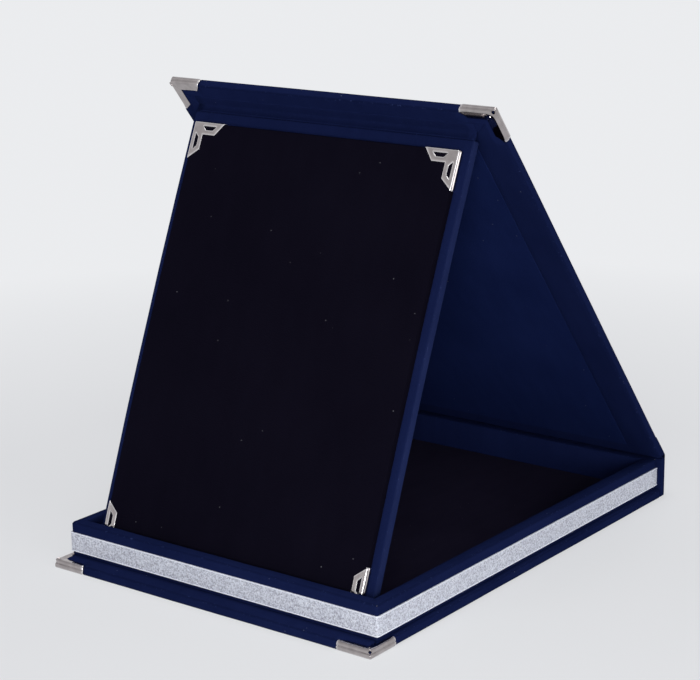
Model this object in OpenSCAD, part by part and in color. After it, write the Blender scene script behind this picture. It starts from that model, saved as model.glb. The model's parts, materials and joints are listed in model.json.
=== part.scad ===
// Award presentation box. The tray, its overhanging base and its spine lie on
// the table. The lid is hinged along the top of the spine by its own cloth and
// leans forward over the tray. The easel panel hangs from the inside of the lid
// and its foot stands in the front corner of the tray floor.
// X runs across the box, Y from front to back, Z up. The origin is under the
// middle of the whole footprint, on the table.

/* [Tray] */
// Width of the tray over its velvet
tray_w = 190; // [170:1:210]
// Depth of the tray over its velvet, front to back
tray_d = 256; // [240:1:272]
// Height of the tray rim above the table
tray_top = 22; // [19:0.5:26]
// Thickness of a tray wall with its velvet
wall_t = 6; // [5:0.5:7]
// Thickness of the card under the floor flock
floor_card_t = 1.2; // [0.8:0.1:2]
// Thickness of the black flock on the floor
floor_flock_t = 0.5; // [0.3:0.1:0.8]

/* [Covered boards] */
// Thickness of the base and the lid with their velvet
board_t = 4.8; // [4:0.2:6]
// Thickness of the velvet
velvet_t = 0.5; // [0.5:0.1:0.8]
// Thickness of the spine with its velvet
spine_t = 4; // [3:0.5:6]
// How far the base and the lid stand out in front of the tray
overhang_front = 9.5; // [7:0.5:13]
// How far the base, the spine and the lid stand out at each side of the tray
overhang_side = 3; // [2:0.5:6]
// How much shorter the lid is than the base with the spine
lid_short = 1; // [0:0.5:3]
// Width of the velvet turned in on the inside of the lid
turn_in = 18; // [10:0.5:24]
// Bare strip between the lid lining and the hinge edge of the lid
lining_stop = 8; // [5:0.5:15]

/* [Ribbon] */
// Width of the glitter ribbon
ribbon_w = 10; // [6:0.5:12]
// Height of the ribbon's lower edge above the table
ribbon_low = 6.75; // [6.25:0.25:8]
// How far the ribbon stands out from the velvet
ribbon_t = 0.6; // [0.3:0.1:1.2]

/* [Easel panel] */
// Thickness of the easel panel with its velvet
easel_t = 4.5; // [3.5:0.5:6]
// Gap at each side between the folded panel and the tray wall
easel_side_gap = 4; // [2:0.5:12]
// Room between the tray's front wall and the hinge line of the folded panel
easel_front_room = 1.2; // [1:0.1:4]
// Room behind the folded panel inside the tray
easel_rear_room = 14.8; // [12:0.2:20]
// Gap between the standing panel and the tray's front wall
foot_gap = 0.3; // [0.2:0.1:2]
// Gap between the panel's foot and the tray floor
foot_lift = 0.3; // [0.2:0.1:0.6]

/* [Plaque board] */
// Thickness of the black plaque board with its flock
plaque_t = 3; // [2:0.5:4]
// Thickness of the flock on the plaque board
plaque_flock_t = 0.4; // [0.2:0.1:0.6]
// Velvet left free at each side of the plaque board
plaque_margin_side = 5; // [4:0.5:12]
// Velvet left free above and below the plaque board
plaque_margin_end = 6.5; // [5:0.5:14]

/* [Metal corners] */
// Thickness of the sheet metal, less than the velvet's
sheet_t = 0.4; // [0.3:0.05:0.45]
// Length of a corner's leg along the board's edge
corner_leg = 19; // [17:0.5:24]
// Width of a corner's arm on the face of the board
corner_arm = 6.1; // [5.6:0.1:7.5]
// How much shorter the arm is at its inner side than at the edge
corner_taper = 5.2; // [3:0.1:5.5]
// Metal left outside the window in a corner's arm
window_edge = 1.7; // [1.2:0.1:2]
// Height of the window, across the arm
window_h = 2.1; // [1.6:0.1:2.4]
// Length of the window on its outer side
window_l = 8.4; // [7:0.1:9]
// How much the window narrows at each end
window_taper = 2; // [1:0.1:3]
// Distance from the tip of the arm to the window
window_tip = 5; // [4.4:0.1:6]
// Width of the flap that holds the back of the board
corner_flap = 4.5; // [3:0.5:6]
// How much shorter the flap is at its inner side than at the edge
flap_taper = 3.5; // [2:0.5:5]
// Gap between the two flaps of a corner, where they would meet in a mitre
flap_gap = 0.2; // [0.1:0.1:0.6]
// Room between the base's side flap and the tray wall
flap_room = 0.5; // [0.3:0.1:1]
// Radius of the hole where the sides and the flaps of a corner meet
relief_r = 0.9; // [0.6:0.1:1.1]
// Distance from the flaps to the middle of that hole
relief_up = 1.6; // [1.2:0.1:2]

/* [Hinges] */
// Radius of the cloth bead along the lid's hinge line
lid_bead_r = 0.75; // [0.5:0.05:0.8]
// Depth of the lid's hinge line under the outer velvet
hinge_depth = 1.25; // [1:0.05:1.5]
// Gap between the tray's rim and the edge of the lid that rests over it
rim_gap = 0.3; // [0.2:0.1:0.6]
// Gap between the lid's hinge line and the edge of the lid
hinge_gap = 1.7; // [1.5:0.1:2.5]
// Radius of the cloth bead along the panel's hinge line
easel_bead_r = 0.7; // [0.5:0.05:0.8]
// Gap between the panel's hinge line and the top edge of the panel
easel_hinge_gap = 1.2; // [1:0.1:2]
// Gap between the folded panel and the inside of the lid
fold_gap = 0.4; // [0.3:0.1:1]

/* [Hidden] */

velvet = "#1b2350";
flock = "#121018";
greyboard = "#8c8a84";
nickel = "#c9c4bf";
glitter = "#d8d8e2";

// Cuts reach past a surface by this much
past = 1;

// Footprint, from the metal on the front edge to the velvet on the spine
footprint_d = sheet_t + overhang_front + tray_d + spine_t;
base_front = -footprint_d / 2 + sheet_t;
tray_front = base_front + overhang_front;
tray_back = tray_front + tray_d;
spine_back = tray_back + spine_t;
base_w = tray_w + 2 * overhang_side;

// Widths of the flaps on the base, in front and beside the tray wall
base_flaps = [corner_flap, overhang_side - flap_room];

// Inside of the tray
inner_w = tray_w - 2 * wall_t;
inner_front = tray_front + wall_t;
inner_back = tray_back - wall_t;
floor_z = board_t - velvet_t + floor_card_t + floor_flock_t;
core_wall_t = wall_t - 2 * velvet_t;

// The lid in its own frame: the hinge line is the origin, y runs towards the
// free edge and z towards the inside of the lid
lid_l = tray_d + overhang_front + spine_t - lid_short;
lid_outer = -hinge_depth;
lid_inner = board_t - hinge_depth;
lid_free = hinge_gap + lid_l;

// The panel in its own frame: the rear bottom edge is the origin, y runs up
// the panel and z towards its front
easel_w = inner_w - 2 * easel_side_gap;
easel_l = inner_back - inner_front - easel_front_room - easel_hinge_gap - easel_rear_room;
plaque_w = easel_w - 2 * plaque_margin_side;
plaque_l = easel_l - 2 * plaque_margin_end;

// The lid's hinge line, the panel's hinge line and the foot make a triangle.
// The lid and the panel fix two of its sides. The hinge lines are written here
// in the frames of the lid and the panel.
pivot_on_lid = [lid_free - overhang_front - wall_t - easel_front_room,
                lid_inner + fold_gap + easel_bead_r];
pivot_on_easel = [easel_l + easel_hinge_gap, easel_bead_r];

// Direction of a flat vector, in degrees
function heading(v) = atan2(v.y, v.x);

// How far a panel that leans at angle a reaches forward of its rear bottom
// edge, with its own front edge or with the plaque board's metal corners
function reach_forward(a) =
    max(easel_t * sin(a),
        (easel_t + plaque_t + sheet_t) * sin(a) - (plaque_margin_end - sheet_t) * cos(a));

// Rear bottom edge of a panel that leans at angle a, as [y, z]
function foot_at(a) = [inner_front + foot_gap + reach_forward(a), floor_z + foot_lift];

// Hinge line of a lid that slopes at angle a, as [y, z]
function pivot_at(a) =
    [spine_back - hinge_depth,
     tray_top + rim_gap + max(lid_bead_r, lid_inner * cos(a) - hinge_gap * sin(a))];

// The panel's lean and the lid's slope. Each pass puts the foot back in its
// corner and the lid's edge back over the rim, and closes the triangle.
function stand(passes) = passes == 0 ? [67, 51] :
    let (last = stand(passes - 1),
         to_pivot = pivot_at(last[1]) - foot_at(last[0]),
         base = norm(to_pivot),
         lid_side = norm(pivot_on_lid),
         easel_side = norm(pivot_on_easel),
         at_foot = acos((base ^ 2 + easel_side ^ 2 - lid_side ^ 2) / (2 * base * easel_side)),
         at_pivot = acos((base ^ 2 + lid_side ^ 2 - easel_side ^ 2) / (2 * base * lid_side)))
    [heading(to_pivot) + at_foot - heading(pivot_on_easel),
     at_pivot - heading(to_pivot) + heading(pivot_on_lid)];

easel_lean = stand(12)[0];
lid_slope = stand(12)[1];
foot = foot_at(easel_lean);
lid_pivot = pivot_at(lid_slope);

// A block from its lowest and highest corners
module block(low, high) {
    translate(low) cube(high - low);
}

// Mirrors shapes in X, Y and Z, each where its sign is negative
module facing(x, y, z) {
    mirror([x < 0 ? 1 : 0, 0, 0]) mirror([0, y < 0 ? 1 : 0, 0])
        mirror([0, 0, z < 0 ? 1 : 0]) children();
}

// Puts lid shapes in their place in the photographed pose
module on_lid() {
    translate([0, lid_pivot.x, lid_pivot.y]) rotate([180 - lid_slope, 0, 0]) children();
}

// Puts panel shapes in their place in the photographed pose
module on_easel() {
    translate([0, foot.x, foot.y]) rotate([easel_lean, 0, 0]) children();
}

// Outline of the window in a corner's arm, the long side outward
module window_outline() {
    start = corner_leg - window_tip - window_l;
    polygon([[start, window_edge], [start + window_l, window_edge],
             [start + window_l - window_taper, window_edge + window_h],
             [start + window_taper, window_edge + window_h]]);
}

// Outline of a metal corner seen square on, its legs along +x and +y
module corner_outline() {
    difference() {
        polygon([[-sheet_t, -sheet_t], [corner_leg, -sheet_t],
                 [corner_leg - corner_taper, corner_arm], [corner_arm, corner_arm],
                 [corner_arm, corner_leg - corner_taper], [-sheet_t, corner_leg]]);
        window_outline();
        mirror([1, -1, 0]) window_outline();
    }
}

// One side of a corner: the edge strip, and the flap bent over the board's back
module corner_side(face, back, flap) {
    block([-sheet_t, -sheet_t, back], [corner_leg, 0, face]);
    if (flap > 0)
        translate([0, 0, back - sheet_t]) linear_extrude(sheet_t)
            polygon([[flap_gap, -sheet_t], [corner_leg, -sheet_t],
                     [corner_leg - flap_taper, flap], [flap + flap_gap, flap]]);
}

// A sheet metal corner. The board fills x > 0 and y > 0 below z = 0, the face
// plate's outer side is at z = face and the board's back at z = back. The flaps
// have the widths flaps.x along x and flaps.y along y.
module metal_corner(face, back, flaps) {
    color(nickel) difference() {
        union() {
            translate([0, 0, face - sheet_t]) linear_extrude(sheet_t) corner_outline();
            corner_side(face, back, flaps.x);
            mirror([1, -1, 0]) corner_side(face, back, flaps.y);
        }
        if (flaps.x > 0)
            translate([-sheet_t, -sheet_t, back + relief_up]) rotate([0, 90, 45])
                cylinder(r = relief_r, h = 4 * relief_r, center = true, $fn = 8);
    }
}

// The front corner of the base at one side, face plate down
module at_base_corner(side) {
    translate([side * base_w / 2, base_front, 0]) facing(-side, 1, -1) children();
}

// The free corner of the lid at one side, face plate outward
module at_lid_corner(side) {
    on_lid() translate([side * base_w / 2, lid_free, lid_outer])
        facing(-side, -1, -1) children();
}

// A corner of the plaque board, face plate to the front
module at_plaque_corner(side, end) {
    on_easel() translate([side * plaque_w / 2,
                          easel_l / 2 + end * plaque_l / 2, easel_t + plaque_t])
        facing(-side, -end, 1) children();
}

// Grey board inside the base
module base_board() {
    color(greyboard)
        block([-base_w / 2 + velvet_t, base_front + velvet_t, velvet_t],
              [base_w / 2 - velvet_t, tray_back, board_t - velvet_t]);
}

// Velvet under the base, round its edges and turned in under the tray walls
module base_cover() {
    color(velvet) difference() {
        block([-base_w / 2, base_front, 0], [base_w / 2, tray_back, board_t]);
        block([-base_w / 2 + velvet_t, base_front + velvet_t, velvet_t],
              [base_w / 2 - velvet_t, tray_back + past, board_t - velvet_t]);
        block([-inner_w / 2, inner_front, board_t - velvet_t - past],
              [inner_w / 2, inner_back, board_t + past]);
        for (side = [-1, 1]) at_base_corner(side)
            translate([0, 0, -sheet_t]) linear_extrude(sheet_t + past) corner_outline();
    }
}

module base_corner_left() {
    at_base_corner(-1) metal_corner(0, -board_t, base_flaps);
}

module base_corner_right() {
    at_base_corner(1) metal_corner(0, -board_t, base_flaps);
}

// Grey board of a wall that runs across the tray, from its front face
module cross_wall(front) {
    color(greyboard)
        block([-tray_w / 2 + velvet_t, front, board_t],
              [tray_w / 2 - velvet_t, front + core_wall_t, tray_top - velvet_t]);
}

// Grey board of a wall at one side of the tray, between the cross walls
module side_wall(side) {
    outer = side * (tray_w / 2 - velvet_t);
    inner = side * (inner_w / 2 + velvet_t);
    color(greyboard)
        block([min(outer, inner), inner_front - velvet_t, board_t],
              [max(outer, inner), inner_back + velvet_t, tray_top - velvet_t]);
}

module tray_front_wall() {
    cross_wall(tray_front + velvet_t);
}

module tray_back_wall() {
    cross_wall(inner_back + velvet_t);
}

module tray_left_wall() {
    side_wall(-1);
}

module tray_right_wall() {
    side_wall(1);
}

// Velvet round the outside, the rim and the inside of the four walls
module tray_cover() {
    color(velvet) difference() {
        block([-tray_w / 2, tray_front, board_t], [tray_w / 2, tray_back, tray_top]);
        block([-inner_w / 2, inner_front, board_t - past],
              [inner_w / 2, inner_back, tray_top + past]);
        difference() {
            block([-tray_w / 2 + velvet_t, tray_front + velvet_t, board_t - past],
                  [tray_w / 2 - velvet_t, tray_back - velvet_t, tray_top - velvet_t]);
            block([-inner_w / 2 - velvet_t, inner_front - velvet_t, board_t - 2 * past],
                  [inner_w / 2 + velvet_t, inner_back + velvet_t, tray_top]);
        }
    }
}

// Card that carries the floor flock, let in among the turned-in velvet
module floor_card() {
    low = board_t - velvet_t;
    color(greyboard)
        block([-inner_w / 2, inner_front, low],
              [inner_w / 2, inner_back, low + floor_card_t]);
}

module floor_flock() {
    color(flock)
        block([-inner_w / 2, inner_front, floor_z - floor_flock_t],
              [inner_w / 2, inner_back, floor_z]);
}

// Ribbon round the front and both sides, which ends at the spine
module glitter_ribbon() {
    color(glitter) difference() {
        block([-tray_w / 2 - ribbon_t, tray_front - ribbon_t, ribbon_low],
              [tray_w / 2 + ribbon_t, tray_back, ribbon_low + ribbon_w]);
        block([-tray_w / 2, tray_front, ribbon_low - past],
              [tray_w / 2, tray_back + past, ribbon_low + ribbon_w + past]);
    }
}

// Grey board of the spine
module spine_board() {
    color(greyboard)
        block([-base_w / 2 + velvet_t, tray_back + velvet_t, velvet_t],
              [base_w / 2 - velvet_t, spine_back - velvet_t, tray_top - velvet_t]);
}

// Velvet all round the spine, glued to the back of the tray
module spine_cover() {
    color(velvet) difference() {
        block([-base_w / 2, tray_back, 0], [base_w / 2, spine_back, tray_top]);
        block([-base_w / 2 + velvet_t, tray_back + velvet_t, velvet_t],
              [base_w / 2 - velvet_t, spine_back - velvet_t, tray_top - velvet_t]);
    }
}

module lid_board() {
    color(greyboard) on_lid()
        block([-base_w / 2 + velvet_t, hinge_gap + velvet_t, lid_outer + velvet_t],
              [base_w / 2 - velvet_t, lid_free - velvet_t, lid_inner - velvet_t]);
}

// The space that the lining fills, between two heights in the lid's frame
module lining_block(low, high) {
    block([-base_w / 2 + turn_in, hinge_gap + lining_stop, low],
          [base_w / 2 - turn_in, lid_free - turn_in, high]);
}

// Velvet over the outside and the edges of the lid, turned in on its inside
module lid_cover() {
    color(velvet) difference() {
        on_lid() difference() {
            block([-base_w / 2, hinge_gap, lid_outer], [base_w / 2, lid_free, lid_inner]);
            block([-base_w / 2 + velvet_t, hinge_gap + velvet_t, lid_outer + velvet_t],
                  [base_w / 2 - velvet_t, lid_free - velvet_t, lid_inner - velvet_t]);
            lining_block(lid_inner - velvet_t - past, lid_inner + past);
        }
        for (side = [-1, 1]) at_lid_corner(side)
            translate([0, 0, -sheet_t]) linear_extrude(sheet_t + past) corner_outline();
    }
}

module lid_lining() {
    color(velvet) on_lid() lining_block(lid_inner - velvet_t, lid_inner);
}

// Cloth between the spine and the lid, a bead on the hinge line and its web
module lid_hinge_cloth() {
    color(velvet) on_lid() union() {
        translate([-base_w / 2, 0, 0]) rotate([0, 90, 0])
            cylinder(r = lid_bead_r, h = base_w, $fn = 48);
        block([-base_w / 2, 0, -lid_bead_r], [base_w / 2, hinge_gap, lid_bead_r]);
    }
}

module lid_corner_left() {
    at_lid_corner(-1) metal_corner(0, -board_t, [corner_flap, corner_flap]);
}

module lid_corner_right() {
    at_lid_corner(1) metal_corner(0, -board_t, [corner_flap, corner_flap]);
}

module easel_board() {
    color(greyboard) on_easel()
        block([-easel_w / 2 + velvet_t, velvet_t, velvet_t],
              [easel_w / 2 - velvet_t, easel_l - velvet_t, easel_t - velvet_t]);
}

// Velvet all round the panel
module easel_cover() {
    color(velvet) on_easel() difference() {
        block([-easel_w / 2, 0, 0], [easel_w / 2, easel_l, easel_t]);
        block([-easel_w / 2 + velvet_t, velvet_t, velvet_t],
              [easel_w / 2 - velvet_t, easel_l - velvet_t, easel_t - velvet_t]);
    }
}

// Cloth between the panel and the lid, a bead on the hinge line and its web
module easel_hinge_cloth() {
    color(velvet) on_easel() union() {
        translate([-easel_w / 2, easel_l + easel_hinge_gap, easel_bead_r])
            rotate([0, 90, 0]) cylinder(r = easel_bead_r, h = easel_w, $fn = 48);
        block([-easel_w / 2, easel_l, 0],
              [easel_w / 2, easel_l + easel_hinge_gap, 2 * easel_bead_r]);
    }
}

// The plaque board's block, drawn in by some amount at its front and edges
module plaque_block(inset) {
    block([-plaque_w / 2 + inset, plaque_margin_end + inset, easel_t],
          [plaque_w / 2 - inset, easel_l - plaque_margin_end - inset,
           easel_t + plaque_t - inset]);
}

module plaque_board() {
    color(greyboard) on_easel() plaque_block(plaque_flock_t);
}

// Black flock over the front and the edges of the plaque board
module plaque_flock() {
    color(flock) on_easel() difference() {
        plaque_block(0);
        translate([0, 0, -past]) plaque_block(plaque_flock_t);
        plaque_block(plaque_flock_t);
    }
}

module plaque_corner_top_left() {
    at_plaque_corner(-1, 1) metal_corner(sheet_t, -plaque_t, [0, 0]);
}

module plaque_corner_top_right() {
    at_plaque_corner(1, 1) metal_corner(sheet_t, -plaque_t, [0, 0]);
}

module plaque_corner_bottom_left() {
    at_plaque_corner(-1, -1) metal_corner(sheet_t, -plaque_t, [0, 0]);
}

module plaque_corner_bottom_right() {
    at_plaque_corner(1, -1) metal_corner(sheet_t, -plaque_t, [0, 0]);
}

base_board();
base_cover();
base_corner_left();
base_corner_right();
tray_front_wall();
tray_back_wall();
tray_left_wall();
tray_right_wall();
tray_cover();
floor_card();
floor_flock();
glitter_ribbon();
spine_board();
spine_cover();
lid_board();
lid_cover();
lid_lining();
lid_hinge_cloth();
lid_corner_left();
lid_corner_right();
easel_board();
easel_cover();
easel_hinge_cloth();
plaque_board();
plaque_flock();
plaque_corner_top_left();
plaque_corner_top_right();
plaque_corner_bottom_left();
plaque_corner_bottom_right();
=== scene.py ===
# %% [markdown]
# # A velvet presentation box that stands as an easel
# The box lies open: its lid leans forward over the tray, and a panel hinged inside the lid stands
# with its foot in the front corner of the tray. Everything is card under navy velvet, with black
# flock where the award lies, a glitter ribbon round the tray and nickel corners.
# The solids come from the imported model. Each piece made here takes its place from the solid that
# it stands for, so nothing is placed by eye.

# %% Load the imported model
import json
import math
from collections import namedtuple

import bmesh
import bpy
from mathutils import Matrix, Vector, noise
from mathutils.geometry import delaunay_2d_cdt


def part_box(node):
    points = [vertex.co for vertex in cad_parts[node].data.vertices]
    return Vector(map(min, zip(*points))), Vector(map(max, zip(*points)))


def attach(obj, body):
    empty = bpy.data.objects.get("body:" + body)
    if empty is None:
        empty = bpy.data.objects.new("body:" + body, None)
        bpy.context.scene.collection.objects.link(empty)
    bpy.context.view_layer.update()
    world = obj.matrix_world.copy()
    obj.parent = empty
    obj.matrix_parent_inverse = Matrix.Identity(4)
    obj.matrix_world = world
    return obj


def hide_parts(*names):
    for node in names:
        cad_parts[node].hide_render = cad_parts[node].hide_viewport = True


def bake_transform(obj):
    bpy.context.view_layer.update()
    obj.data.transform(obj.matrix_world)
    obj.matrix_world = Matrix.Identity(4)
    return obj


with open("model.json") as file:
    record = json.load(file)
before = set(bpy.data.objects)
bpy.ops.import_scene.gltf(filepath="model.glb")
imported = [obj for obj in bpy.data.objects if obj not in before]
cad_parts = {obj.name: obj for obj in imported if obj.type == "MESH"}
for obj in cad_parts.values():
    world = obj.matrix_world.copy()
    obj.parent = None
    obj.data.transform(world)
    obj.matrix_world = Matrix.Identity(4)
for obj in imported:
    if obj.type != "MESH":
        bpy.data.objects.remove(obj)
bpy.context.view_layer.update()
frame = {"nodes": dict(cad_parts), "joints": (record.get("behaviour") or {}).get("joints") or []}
MM = 0.001
QUARTER = math.pi / 2


def mm(*sizes):
    """Millimetres as the metres that Blender works in."""
    return [size * MM for size in sizes]


# %% [markdown]
# ## Where the boards lie
# The lid and the panel are tilted. It is easier to build a board flat, in its own directions, and
# to turn the finished mesh. The largest faces of a board's solid say how it is tilted, so the
# turn is read from the solid and no angle is written here.

# %% Directions and sizes of a tilted board
FRONT = Vector((0, -1, 0))
UP = Vector((0, 0, 1))


def board_turn(node, facing):
    """The turn whose z axis is a board's broad side that looks towards facing, with x across the box."""
    broad = sorted(frame["nodes"][node].data.polygons, key=lambda p: -p.area)[:4]
    z = max((p.normal.copy() for p in broad), key=lambda n: n.dot(facing))
    x = Vector((1, 0, 0))
    return Matrix((x, z.cross(x), z)).transposed()


def span(turn, node):
    """Lowest and highest corner of a solid, seen in a board's own directions."""
    seen = [turn.transposed() @ v.co for v in frame["nodes"][node].data.vertices]
    return Vector(map(min, zip(*seen))), Vector(map(max, zip(*seen)))


flat_turn = board_turn("base_cover", UP)
lid_turn = board_turn("lid_board", FRONT)
panel_turn = board_turn("easel_board", FRONT)
for name, turn in (("lid", lid_turn), ("panel", panel_turn)):
    lean = math.degrees(math.acos(turn.col[1].z))
    print(f"the {name} leans {lean:.1f} degrees away from upright")

# %% [markdown]
# ## Node trees in few words
# Every finish and every repeated detail is a node tree. This small helper adds a node, sets its
# sockets and links it in one line, so that the recipes below read like recipes.

# %% A helper for node trees
def add(tree, kind, settings=None, **inputs):
    """Adds a node. Settings are its own properties; inputs are socket values, or sockets to link from."""
    made = tree.nodes.new(kind)
    for key, value in (settings or {}).items():
        setattr(made, key, value)
    for key, value in inputs.items():
        socket = made.inputs[int(key[1:])] if key[1:].isdigit() else made.inputs[key.replace("_", " ")]
        if isinstance(value, bpy.types.NodeSocket):
            tree.links.new(value, socket)
        else:
            socket.default_value = value
    return made


def ramp(tree, source, *stops):
    """A colour ramp through stops of (place, colour)."""
    made = add(tree, "ShaderNodeValToRGB", Fac=source)
    elements = made.color_ramp.elements
    while len(elements) < len(stops):
        elements.new(0.5)
    for element, (place, colour) in zip(elements, stops):
        element.position = place
        element.color = (*colour, 1)
    return made.outputs["Color"]


def mix(tree, share, first, second):
    """A mix of two colours, by a number or a socket."""
    made = add(tree, "ShaderNodeMix", {"data_type": "RGBA"}, Factor=share)
    for place, colour in ((6, first), (7, second)):
        if isinstance(colour, bpy.types.NodeSocket):
            tree.links.new(colour, made.inputs[place])
        else:
            made.inputs[place].default_value = (*colour, 1)
    return made.outputs[2]


def maths(tree, operation, first, second=0.0):
    """One sum on numbers or sockets."""
    return add(tree, "ShaderNodeMath", {"operation": operation}, _0=first, _1=second).outputs[0]


def times(tree, first, second):
    return maths(tree, "MULTIPLY", first, second)

# %% [markdown]
# All finishes start alike: a material with the all-purpose shader, and patterns of noise that
# read the object's own coordinates, so that they stay on the cloth when the lid turns and need
# no unwrapping.

# %% A helper for materials
def new_material(name, roughness, specular, metallic=0.0):
    """A material with a Principled shader: gives it, its tree, the shader and object coordinates."""
    material = bpy.data.materials.new(name)
    material.use_nodes = True
    tree = material.node_tree
    shader = tree.nodes["Principled BSDF"]
    shader.inputs["Roughness"].default_value = roughness
    shader.inputs["Specular IOR Level"].default_value = specular
    shader.inputs["Metallic"].default_value = metallic
    place = tree.nodes.new("ShaderNodeTexCoord").outputs["Object"]
    return material, tree, shader, place


def grain(tree, place, size, detail=2.0, stretch=(1, 1, 1)):
    """Noise whose lumps are about size metres wide."""
    moved = add(tree, "ShaderNodeMapping", Vector=place, Scale=[s / size for s in stretch])
    made = add(tree, "ShaderNodeTexNoise", Vector=moved.outputs[0], Scale=1.0, Detail=detail)
    return made.outputs["Fac"]


def bumps(tree, shader, height, strength, distance):
    """Lets a height pattern bend the light."""
    made = add(tree, "ShaderNodeBump", Height=height, Strength=strength, Distance=distance)
    tree.links.new(made.outputs[0], shader.inputs["Normal"])


def mark(tree, name):
    """The value that a mesh carries under a name."""
    return add(tree, "ShaderNodeAttribute", {"attribute_name": name}).outputs["Fac"]


# %% [markdown]
# ## Velvet
# Velvet swallows the light that falls straight on it and gives some back at a glancing angle, so
# it has no gloss and a little sheen. The pile lies in slightly different directions, which shows
# as soft cloudy marks and short brush strokes. A picture of cloth would be quicker, but it would
# have a seam and a fixed size, and these patterns have neither. Specks of lint sit on any dark
# cloth. They are made first, as a mask that is 1 on a speck and 0 beside it.

# %% Specks of lint
LINT_APART, LINT_SIZE, LINT_SHARE = 5.5 * MM, 0.28 * MM, 0.2


def lint(tree, place):
    """A mask of sparse specks: small discs round the points of a coarse cell pattern."""
    cells = add(tree, "ShaderNodeTexVoronoi", {"voronoi_dimensions": "3D"}, Vector=place,
                Scale=1 / LINT_APART, Randomness=1.0)
    near = maths(tree, "LESS_THAN", cells.outputs["Distance"], LINT_SIZE / LINT_APART)
    lot = add(tree, "ShaderNodeSeparateColor", _0=cells.outputs["Color"]).outputs[0]
    return times(tree, near, maths(tree, "GREATER_THAN", lot, 1 - LINT_SHARE))

# %% [markdown]
# Where the cloth bends round an edge its colour is painted darker, a painted shade, and single tufts
# are painted lighter, a painted highlight: the meshes carry a value named bend for that. The lining
# and the floor get lighter copies of their cloth, painted light against the shade they lie in.

# %% The navy velvet and the black flock
def pile_cloth(name, deep, lit, edge, speck, sheen=0.0, sheen_tint=(0.30, 0.26, 0.40)):
    """Cloth with an upright pile, from its colours in shade and in light; edge is the colour of its painted
    highlights.
    """
    material, tree, shader, place = new_material(name, roughness=0.95, specular=0.0)
    shader.inputs["Sheen Weight"].default_value = sheen
    shader.inputs["Sheen Roughness"].default_value = 0.38
    shader.inputs["Sheen Tint"].default_value = (*sheen_tint, 1)
    clouds = grain(tree, place, 55 * MM, 3)
    strokes = grain(tree, place, 10 * MM, 2, stretch=(1.6, 0.5, 0.35))
    fibres = grain(tree, place, 0.7 * MM, 2)
    pile_pattern = maths(tree, "ADD", times(tree, clouds, 0.55), times(tree, strokes, 0.25))
    pile_pattern = maths(tree, "ADD", pile_pattern, times(tree, fibres, 0.20))
    body = ramp(tree, pile_pattern, (0.36, deep), (0.64, lit))
    bend = mark(tree, "bend")
    # painted shade: the colour is darker where the cloth bends
    body = mix(tree, times(tree, bend, 0.55), body, [0.55 * c for c in deep])
    # painted highlight: single tufts on the bends are lighter
    tuft_highlight = add(tree, "ShaderNodeMapRange", {"interpolation_type": "SMOOTHSTEP"},
               Value=grain(tree, place, 1.1 * MM, 1), From_Min=0.63, From_Max=0.76)
    body = mix(tree, times(tree, bend, times(tree, tuft_highlight.outputs[0], 0.7)), body, edge)
    # painted highlight: the panel's right edge is paler, speckled by the pile pattern
    body = mix(tree, times(tree, mark(tree, "handled"), times(tree, pile_pattern, 0.5)), body, edge)
    body = mix(tree, lint(tree, place), body, speck)
    tree.links.new(body, shader.inputs["Base Color"])
    bumps(tree, shader, fibres, 0.35, 0.4 * MM)
    return material


NAVY = {"edge": (0.030, 0.044, 0.135), "speck": (0.085, 0.100, 0.165),
        "sheen": 0.02, "sheen_tint": (0.14, 0.22, 0.62)}
velvet = pile_cloth("navy velvet", (0.0060, 0.0103, 0.0460), (0.0085, 0.0141, 0.0602), **NAVY)
# painted light: the lining and the floor get lighter copies of their cloth, against the shade they lie in
lining_velvet_lightened = pile_cloth("navy velvet of the lining",
                           (0.0064, 0.0123, 0.0585), (0.0090, 0.0168, 0.0765), **NAVY)
flock = pile_cloth("black flock", (0.0040, 0.0034, 0.0078), (0.0050, 0.0043, 0.0096),
                   (0.0060, 0.0052, 0.0115), (0.12, 0.12, 0.14))
floor_pile_lightened = pile_cloth("black flock of the floor", (0.0176, 0.0150, 0.0322), (0.0225, 0.0190, 0.0407),
                        (0.0243, 0.0205, 0.0433), (0.06, 0.06, 0.08))
print("pile cloths:", [m.name for m in (velvet, lining_velvet_lightened, flock, floor_pile_lightened)])

# %% [markdown]
# ## Nickel, glitter and grey board
# The corners are thin pressed sheet with a bright nickel plate, a little warm, with faint
# polishing lines, and it is painted paler along its rims and folds, a painted highlight: the
# meshes carry a value named rim for that. The ribbon is a pale silver ground strewn with glitter,
# between two woven edges. Grey board hides under the cloth, but its solids stay in the model.
# Ribbon, woven edge and board differ only in their sizes and colours, so one function makes all three.

# %% The other finishes
def nickel_plate():
    material, tree, shader, place = new_material("nickel plate", roughness=0.18, specular=0.5, metallic=1.0)
    polish = grain(tree, place, 0.35 * MM, 2, stretch=(1, 0.15, 1))
    stains = grain(tree, place, 4 * MM, 3)
    plate = ramp(tree, stains, (0.35, (0.37, 0.34, 0.338)), (0.65, (0.45, 0.415, 0.412)))
    rim = mark(tree, "rim")
    # painted highlight: the nickel is paler where the rim value is high
    tree.links.new(mix(tree, times(tree, rim, 0.9), plate, (0.84, 0.82, 0.83)), shader.inputs["Base Color"])
    rough = maths(tree, "ADD", times(tree, polish, 0.06), times(tree, rim, 0.22))
    tree.links.new(maths(tree, "ADD", rough, 0.05), shader.inputs["Roughness"])
    bumps(tree, shader, polish, 0.06, 0.04 * MM)
    return material


def grained(name, roughness, specular, size, detail, stops, strength, height, stretch=(1, 1, 1)):
    """A finish whose colour and relief follow the same grain."""
    material, tree, shader, place = new_material(name, roughness, specular)
    pattern = grain(tree, place, size, detail, stretch)
    tree.links.new(ramp(tree, pattern, *stops), shader.inputs["Base Color"])
    bumps(tree, shader, pattern, strength, height)
    return material


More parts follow.
